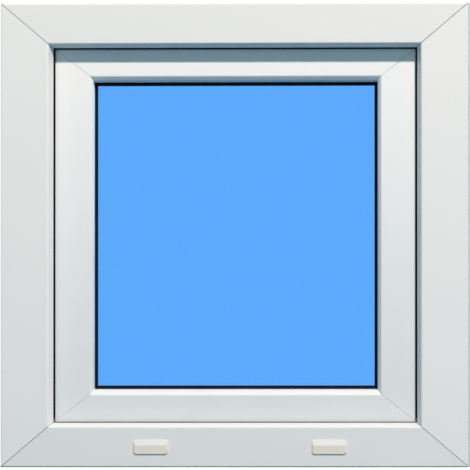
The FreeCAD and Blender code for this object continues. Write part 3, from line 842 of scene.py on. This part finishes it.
@dataclass(frozen=True)
class Turned:
    """A small round piece, modelled about the Z axis ring by ring.

    Attributes:
        rings: Radius and height of each ring in metres, from the foot up and in.
        hollow: Whether the last ring joins the first, which leaves a hole through the piece.
        edge: Width of the bevel on its sharp edges.
        sides: Points round a ring.
    """

    rings: Tuple[Tuple[float, float], ...]
    hollow: bool = False
    edge: float = 0.0002
    sides: int = 40

    def model(self, name: str) -> bpy.types.Object:
        """Draws the first ring up through the others and closes the piece.

        Args:
            name: The piece's name.

        Returns:
            The piece, standing on the origin.
        """
        radius, height = self.rings[0]
        bpy.ops.object.select_all(action="DESELECT")
        bpy.ops.mesh.primitive_circle_add(vertices=self.sides, radius=radius, location=ORIGIN)
        piece = bpy.context.active_object
        piece.name = name
        bpy.ops.object.mode_set(mode="EDIT")
        bpy.ops.mesh.select_mode(type="EDGE")
        bpy.ops.mesh.select_all(action="SELECT")
        for next_radius, next_height in self.rings[1:]:
            rise = (0.0, 0.0, next_height - height)
            bpy.ops.mesh.extrude_edges_move(TRANSFORM_OT_translate={"value": rise})
            growth = next_radius / radius
            bpy.ops.transform.resize(value=(growth, growth, 1.0), center_override=ORIGIN)
            radius, height = next_radius, next_height
        self._close()
        bpy.ops.mesh.select_all(action="SELECT")
        bpy.ops.mesh.normals_make_consistent(inside=False)
        bpy.ops.object.mode_set(mode="OBJECT")
        self._soften(piece)
        return piece

    def _close(self) -> None:
        """Joins the last ring to the first, or fills both."""
        if not self.hollow:
            bpy.ops.mesh.edge_face_add()
        bpy.ops.mesh.select_all(action="DESELECT")
        bpy.ops.mesh.select_non_manifold(extend=False)
        if self.hollow:
            bpy.ops.mesh.bridge_edge_loops()
        else:
            bpy.ops.mesh.edge_face_add()

    def _soften(self, piece: bpy.types.Object) -> None:
        """Takes the sharp edges off.

        Args:
            piece: The piece, in object mode.
        """
        bevel = piece.modifiers.new("edge", "BEVEL")
        bevel.width = self.edge
        bevel.segments = 2
        bevel.limit_method = "ANGLE"
        bpy.ops.object.modifier_apply(modifier=bevel.name)
        bpy.ops.object.shade_smooth_by_angle(angle=math.radians(SMOOTH_ANGLE))


@dataclass(frozen=True)
class CrossHeadScrew(Turned):
    """A raised screw head with a cross recess.

    Attributes:
        recess_length: Length of each arm of the cross, end to end.
        recess_width: Width of each arm.
        recess_depth: Depth of the cross below the top ring.
    """

    recess_length: float = 0.0038
    recess_width: float = 0.0008
    recess_depth: float = 0.0009

    def model(self, name: str) -> bpy.types.Object:
        """Models the head and cuts the cross into it.

        Args:
            name: The piece's name.

        Returns:
            The piece, standing on the origin.
        """
        head = super().model(name)
        cutter = self._cross()
        bpy.ops.object.select_all(action="DESELECT")
        head.select_set(True)
        bpy.context.view_layer.objects.active = head
        recess = head.modifiers.new("recess", "BOOLEAN")
        recess.operation = "DIFFERENCE"
        recess.use_self = True
        recess.object = cutter
        bpy.ops.object.modifier_apply(modifier=recess.name)
        bpy.data.objects.remove(cutter)
        return head

    def _cross(self) -> bpy.types.Object:
        """A cross of two bars that reaches down to the bottom of the recess.

        Returns:
            The cross.
        """
        top = self.rings[-1][1]
        bpy.ops.object.select_all(action="DESELECT")
        bpy.ops.mesh.primitive_cube_add(size=1.0, location=ORIGIN)
        cross = bpy.context.active_object
        bpy.ops.object.mode_set(mode="EDIT")
        bpy.ops.mesh.select_all(action="SELECT")
        size = (self.recess_length, self.recess_width, 2.0 * self.recess_depth)
        bpy.ops.transform.resize(value=size, center_override=ORIGIN)
        bpy.ops.transform.translate(value=(0.0, 0.0, top))
        bpy.ops.mesh.duplicate()
        bpy.ops.transform.rotate(value=math.pi / 2.0, orient_axis="Z", center_override=ORIGIN)
        bpy.ops.object.mode_set(mode="OBJECT")
        return cross


@dataclass(frozen=True)
class Place:
    """Where one copy of a small piece goes.

    Attributes:
        name: The copy's name.
        foot: Where its foot stands.
        facing: The way its top points.
    """

    name: str
    foot: Vector
    facing: Facing


@dataclass
class Part:
    """A sub-assembly: gives its CAD nodes their materials and sets its small pieces.

    Attributes:
        finishes: The window's materials.
    """

    frame: Dict[str, Any]
    finishes: FinishSet

    def dress_nodes(self, names: Iterable[str], material: bpy.types.Material) -> None:
        """Puts one material on CAD nodes.

        Args:
            names: The nodes.
            material: Their material.
        """
        for name in names:
            mesh = self.frame["nodes"][name].data
            mesh.materials.clear()
            mesh.materials.append(material)
            LOG.info("dressed %s in %s", name, material.name)

    @staticmethod
    def set_copies(shape: Turned, places: Iterable[Place], material: bpy.types.Material, slot: str) -> None:
        """Models a small piece once and sets copies of it, each with its own mesh.

        Args:
            shape: The piece.
            places: Where the copies go.
            material: Their material.
            slot: The record's slot for their finish; not used.
        """
        master = shape.model("master")
        master.data.materials.append(material)
        for place in places:
            piece = master.copy()
            piece.data = master.data.copy()
            piece.name = piece.data.name = place.name
            bpy.context.scene.collection.objects.link(piece)
            piece.location = place.foot
            piece.rotation_euler = (place.facing.value, 0.0, 0.0)
            bpy.ops.object.select_all(action="DESELECT")
            piece.select_set(True)
            bpy.context.view_layer.objects.active = piece
            bpy.ops.object.transform_apply(location=True, rotation=True, scale=True)
            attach(piece, "root")
            LOG.info("set %s", piece.name)
        bpy.data.objects.remove(master)


@dataclass
class OuterFrame(Part):
    """The fixed frame with its seal.

    Attributes:
        rails: Its level bars.
        jambs: Its upright bars.
        seal: Its black seal.
    """

    rails: Tuple[str, ...] = ("frame_head", "frame_sill")
    jambs: Tuple[str, ...] = ("frame_left_jamb", "frame_right_jamb")
    seal: Tuple[str, ...] = ("frame_gasket",)

    def dress(self) -> None:
        """Dresses the bars and the seal."""
        self.dress_nodes(self.rails, self.finishes.frame_rail)
        self.dress_nodes(self.jambs, self.finishes.frame_jamb)
        self.dress_nodes(self.seal, self.finishes.dusty_rubber)


@dataclass
class Sash(Part):
    """The opening sash with its seal.

    Attributes:
        rails: Its level bars.
        stiles: Its upright bars.
        seal: Its black seal.
    """

    rails: Tuple[str, ...] = ("sash_top_rail", "sash_bottom_rail")
    stiles: Tuple[str, ...] = ("sash_left_stile", "sash_right_stile")
    seal: Tuple[str, ...] = ("sash_gasket",)

    def dress(self) -> None:
        """Dresses the bars and the seal."""
        self.dress_nodes(self.rails, self.finishes.sash_rail)
        self.dress_nodes(self.stiles, self.finishes.sash_stile)
        self.dress_nodes(self.seal, self.finishes.rubber)


@dataclass
class Glazing(Part):
    """The panes, their spacer, beads and seals.

    Attributes:
        panes: The sheets of glass.
        level_beads: The level glazing beads.
        upright_beads: The upright glazing beads.
        seals: The seals on both sides of the glass.
    """

    panes: Tuple[str, ...] = ("outer_pane", "inner_pane")
    level_beads: Tuple[str, ...] = ("glazing_bead_top", "glazing_bead_bottom")
    upright_beads: Tuple[str, ...] = ("glazing_bead_left", "glazing_bead_right")
    seals: Tuple[str, ...] = ("glazing_gasket", "bead_gasket_top", "bead_gasket_bottom", "bead_gasket_left",
                              "bead_gasket_right")

    def dress(self) -> None:
        """Dresses the glass and what holds it."""
        self.dress_nodes(self.panes, self.finishes.glass)
        self.dress_nodes(("spacer_bar",), self.finishes.spacer)
        self.dress_nodes(self.level_beads, self.finishes.level_bead)
        self.dress_nodes(self.upright_beads, self.finishes.upright_bead)
        self.dress_nodes(self.seals, self.finishes.rubber)


@dataclass
class DrainCaps(Part):
    """The caps over the drain slots.

    Attributes:
        caps: The two caps.
    """

    caps: Tuple[str, ...] = ("drain_cap_left", "drain_cap_right")

    def dress(self) -> None:
        """Dresses the caps."""
        self.dress_nodes(self.caps, self.finishes.cap)


@dataclass
class Handle(Part):
    """The handle on the room side.

    Attributes:
        collar: The turned collar that its neck comes out of.
    """

    collar: Turned = Turned(rings=((0.0135, 0.0), (0.0135, 0.0014), (0.0118, 0.0028), (0.0096, 0.0028),
                                   (0.0087, 0.0018), (0.0087, 0.0)), hollow=True, sides=64)

    def build(self) -> None:
        """Sets the collar on the front of the rosette."""
        low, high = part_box("handle_rosette")
        foot = Vector(((low.x + high.x) / 2.0, high.y, (low.z + high.z) / 2.0))
        self.set_copies(self.collar, [Place("handle_collar", foot, Facing.ROOM)], self.finishes.coating,
                        "white_coating")

    def dress(self) -> None:
        """Dresses the rosette and the lever."""
        self.dress_nodes(("handle_rosette", "handle_lever"), self.finishes.coating)


@dataclass
class Hinges(Part):
    """The two hinges on the room side.

    Attributes:
        pin_ends: The knuckles, each with the way that the end of its pin faces.
        bands: The knuckles with a leaf on the sash.
        pin_cap: The cap over each end of a hinge pin, with a dimple in it.
        screw: The head of a screw in a hinge leaf.
        screw_spots: Places of the screws on a leaf, as metres in from its free edge and up from its middle.
    """

    pin_ends: Tuple[Tuple[str, Facing], ...] = (("corner_bearing", Facing.DOWN), ("corner_band", Facing.UP),
                                                ("stay_bearing", Facing.UP), ("stay_band", Facing.DOWN))
    bands: Tuple[str, ...] = ("corner_band", "stay_band")
    pin_cap: Turned = Turned(rings=((0.0056, 0.0), (0.0056, 0.0007), (0.0046, 0.0015), (0.0026, 0.0017),
                                    (0.0021, 0.0008)))
    screw: CrossHeadScrew = CrossHeadScrew(rings=((0.0034, 0.0), (0.0034, 0.0004), (0.0029, 0.0010),
                                                  (0.0020, 0.0013)))
    screw_spots: Tuple[Tuple[float, float], ...] = ((0.008, 0.013), (0.008, -0.013), (0.022, 0.0))

    def build(self) -> None:
        """Sets the pin caps and the screws."""
        caps = [Place(node + "_pin_cap", self._pin_end(node, facing), facing)
                for node, facing in self.pin_ends]
        self.set_copies(self.pin_cap, caps, self.finishes.cover, "hinge_plastic")
        screws = []
        for node in self.bands:
            for number, foot in enumerate(self._screw_feet(node), start=1):
                screws.append(Place(f"{node}_screw_{number}", foot, Facing.ROOM))
        self.set_copies(self.screw, screws, self.finishes.coating, "white_coating")

    @staticmethod
    def _pin_end(node: str, facing: Facing) -> Vector:
        """End of the hinge pin at the top or the bottom of a knuckle.

        Args:
            node: The knuckle's node.
            facing: Whether it is the top or the bottom.

        Returns:
            The point.
        """
        low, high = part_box(node)
        bearing_low, bearing_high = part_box("corner_bearing")
        radius = (bearing_high.x - bearing_low.x) / 2.0
        height = high.z if facing is Facing.UP else low.z
        return Vector((bearing_low.x + radius, bearing_high.y - radius, height))

    def _screw_feet(self, node: str) -> List[Vector]:
        """Feet of the screws on a hinge's leaf.

        Args:
            node: The hinge band's node.

        Returns:
            The points on the leaf's face.
        """
        low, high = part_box(node)
        middle = (low.z + high.z) / 2.0
        mesh = self.frame["nodes"][node].data
        face = max(v.co.y for v in mesh.vertices if v.co.x > high.x - self.screw_spots[0][0])
        return [Vector((high.x - inset, face, middle + up)) for inset, up in self.screw_spots]

    def dress(self) -> None:
        """Dresses the knuckles and leaves."""
        self.dress_nodes([node for node, facing in self.pin_ends], self.finishes.cover)


def direction(turn: float, rise: float) -> Vector:
    """Direction from the window to something.

    Args:
        turn: Degrees to the right of straight on.
        rise: Degrees above level.

    Returns:
        The unit vector.
    """
    side, up = math.radians(turn), math.radians(rise)
    return Vector((math.sin(side) * math.cos(up), -math.cos(side) * math.cos(up), math.sin(up)))


def put(holder: bpy.types.Object, way: Vector, target: Vector, distance: float) -> None:
    """Puts a lamp or a camera into the scene and turns it to its target.

    Args:
        holder: The lamp's or camera's object.
        way: Direction from the target to it.
        target: What it looks at.
        distance: Metres from the target.
    """
    holder.location = target + way * distance
    holder.rotation_euler = (-way).to_track_quat("-Z", "Y").to_euler()
    bpy.context.scene.collection.objects.link(holder)


@dataclass(frozen=True)
class Lamp:
    """A round lamp that shines on the middle of the window.

    Attributes:
        name: The lamp's name.
        turn: Degrees it stands to the right of straight on.
        rise: Degrees it stands above level.
        distance: Metres to it.
        power: Its watts.
        colour: Its colour.
        size: Its width.
    """

    name: str
    turn: float
    rise: float
    distance: float
    power: float
    colour: Colour
    size: float

    def hang(self, target: Vector) -> None:
        """Hangs the lamp.

        Args:
            target: What it shines on.
        """
        light = bpy.data.lights.new(self.name, "AREA")
        light.shape = "DISK"
        light.size = self.size
        light.energy = self.power
        light.color = self.colour
        put(bpy.data.objects.new(self.name, light), direction(self.turn, self.rise), target, self.distance)


@dataclass
class Studio:
    """Floor, light and camera.

    Attributes:
        middle: Middle of the window's weather face.
        aim: Metres to the right of the middle that the camera looks at.
        view_turn: Degrees the camera stands to the right of straight on.
        view_rise: Degrees the camera stands above the middle.
        distance: Metres from the camera to the weather face.
        frame_width: Width in metres that the picture shows there.
        lamps: A warm lamp above on the weather side and soft ones on the room side and the left.
        sensor_width: Width of the camera's sensor in millimetres.
        view_end: Metres from the camera beyond which nothing shows.
        fill: Colour of the light from all around.
        floor_size: Width and depth of the floor.
        floor_place: Its middle, just below the window and behind it.
        floor_pale: Its colour where it is seen.
        floor_tint: Its colour in the light that it throws back on the window.
        floor_roughness: Its roughness.
        floor_near: Metres from the window at which it starts to turn to plain white.
        floor_far: Metres at which it is plain white.
    """

    middle: Vector
    aim: float = 0.0008
    view_turn: float = 3.4
    view_rise: float = -1.2
    distance: float = 12.0
    frame_width: float = 0.602
    lamps: Tuple[Lamp, ...] = (
        Lamp("key_lamp", turn=23.0, rise=47.6, distance=6.0, power=434.0, size=0.31,
             colour=(1.0, 0.878, 0.81)),
        Lamp("room_lamp", turn=155.0, rise=10.0, distance=3.2, power=74.0, size=1.3,
             colour=(1.0, 0.92, 0.88)),
        Lamp("left_lamp", turn=-105.0, rise=12.0, distance=3.2, power=42.0, size=1.3,
             colour=(1.0, 0.89, 0.85)))
    sensor_width: float = 36.0
    view_end: float = 100.0
    fill: Colour = (0.198, 0.284, 0.273)
    floor_size: Tuple[float, float] = (30.0, 6.0)
    floor_place: Tuple[float, float, float] = (0.0, 0.5, -0.0005)
    floor_pale: Colour = (0.9, 0.9, 0.9)
    floor_tint: Colour = (0.037, 0.153, 0.266)
    floor_roughness: float = 0.9
    floor_near: float = 0.9
    floor_far: float = 2.4

    def build(self) -> None:
        """Builds everything round the window."""
        self._world()
        self._floor()
        for lamp in self.lamps:
            lamp.hang(self.middle)
        self._camera()

    @staticmethod
    def _seen(bench: NodeBench) -> bpy.types.NodeSocket:
        """One where a ray comes from the camera, or by way of gloss or glass.

        Args:
            bench: The tree's bench.

        Returns:
            The mask's socket.
        """
        path = bench.add("ShaderNodeLightPath")
        first = bench.maths("MAXIMUM", path.outputs["Is Camera Ray"], path.outputs["Is Glossy Ray"])
        return bench.maths("MAXIMUM", first, path.outputs["Is Transmission Ray"])

    def _world(self) -> None:
        """White where it is seen, and a cool fill on the window."""
        world = bpy.data.worlds.new("studio_world")
        world.use_nodes = True
        bpy.context.scene.world = world
        bench = NodeBench(world.node_tree)
        background = world.node_tree.nodes["Background"]
        bench.join(bench.blend(self._seen(bench), self.fill, WHITE), background.inputs["Color"])

    def _floor(self) -> None:
        """A pale floor under the window."""
        bpy.ops.object.select_all(action="DESELECT")
        bpy.ops.mesh.primitive_plane_add(size=1.0, location=ORIGIN)
        floor = bpy.context.active_object
        floor.name = "floor"
        floor.scale = (*self.floor_size, 1.0)
        floor.location = self.floor_place
        bpy.ops.object.transform_apply(location=True, rotation=True, scale=True)
        floor.data.materials.append(self._floor_finish())

    def _floor_finish(self) -> bpy.types.Material:
        """A finish that takes the window's shadow and is plain white farther off.

        Returns:
            The material.
        """
        material, bench, shader = Finish("pale_floor").start()
        bench.set(shader, Roughness=self.floor_roughness, Specular_IOR_Level=0.0)
        seen = self._seen(bench)
        colour = bench.blend(seen, self.floor_tint, self.floor_pale)
        bench.join(colour, shader.inputs["Base Color"])
        away = bench.add("ShaderNodeVectorMath", operation="LENGTH")
        bench.join(Finish.place(bench), away.inputs[0])
        ramp = bench.add("ShaderNodeMapRange", interpolation_type="SMOOTHSTEP")
        bench.set(ramp, From_Min=self.floor_near, From_Max=self.floor_far)
        bench.join(away.outputs["Value"], ramp.inputs["Value"])
        white = bench.add("ShaderNodeEmission")
        mix = bench.add("ShaderNodeMixShader")
        bench.join(bench.maths("MULTIPLY", ramp.outputs["Result"], seen), mix.inputs[0])
        bench.join(shader.outputs[0], mix.inputs[1])
        bench.join(white.outputs[0], mix.inputs[2])
        bench.join(mix.outputs[0], material.node_tree.nodes["Material Output"].inputs["Surface"])
        return material

    def _camera(self) -> None:
        """A far camera, almost straight on."""
        data = bpy.data.cameras.new("camera")
        data.sensor_width = self.sensor_width
        data.lens = self.sensor_width * self.distance / self.frame_width
        data.clip_end = self.view_end
        camera = bpy.data.objects.new("camera", data)
        target = self.middle + Vector((self.aim, 0.0, 0.0))
        put(camera, direction(self.view_turn, self.view_rise), target, self.distance)
        bpy.context.scene.camera = camera


def make_finishes() -> FinishSet:
    """Measures what the finishes depend on, and makes them.

    Returns:
        The window's materials.
    """
    sill_low, sill_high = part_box("frame_sill")
    jamb_low, jamb_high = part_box("frame_left_jamb")
    spacer_low, spacer_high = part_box("spacer_bar")
    cap_low, cap_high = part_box("drain_cap_left")
    jamb = jamb_high - jamb_low
    sill = sill_high - sill_low
    mitre = Mitre(half_width=sill.x / 2.0, half_depth=jamb.y / 2.0, half_height=jamb.z / 2.0,
                  slope=sill.z / jamb.x)
    return FinishSet(frame_mitre=mitre,
                     sash_mitre=mitre.turn(jamb.x + FRAME_SEAL_SHOW, SASH_MITRE_SLOPE),
                     cavity_y=(spacer_low.y + spacer_high.y) / 2.0,
                     cap_line=cap_low.z + CAP_RIDGE_SHARE * (cap_high.z - cap_low.z),
                     sill_top=sill_high.z)


def face_middle() -> Vector:
    """Measures where the middle of the window's weather face is.

    Returns:
        The point.
    """
    sill_low, sill_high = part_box("frame_sill")
    jamb_low, jamb_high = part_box("frame_left_jamb")
    return Vector(((sill_low.x + sill_high.x) / 2.0, sill_low.y, (jamb_low.z + jamb_high.z) / 2.0))


def main() -> None:
    """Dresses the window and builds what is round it."""
    logging.basicConfig(level=logging.INFO, format="%(message)s")
    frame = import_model()
    bpy.context.scene.view_settings.view_transform = "Standard"
    finishes = make_finishes()
    for part in (OuterFrame, Sash, Glazing, DrainCaps, Handle, Hinges):
        part(frame, finishes).dress()
    for part in (Handle, Hinges):
        part(frame, finishes).build()
    Studio(face_middle()).build()


if __name__ == "__main__":
    main()
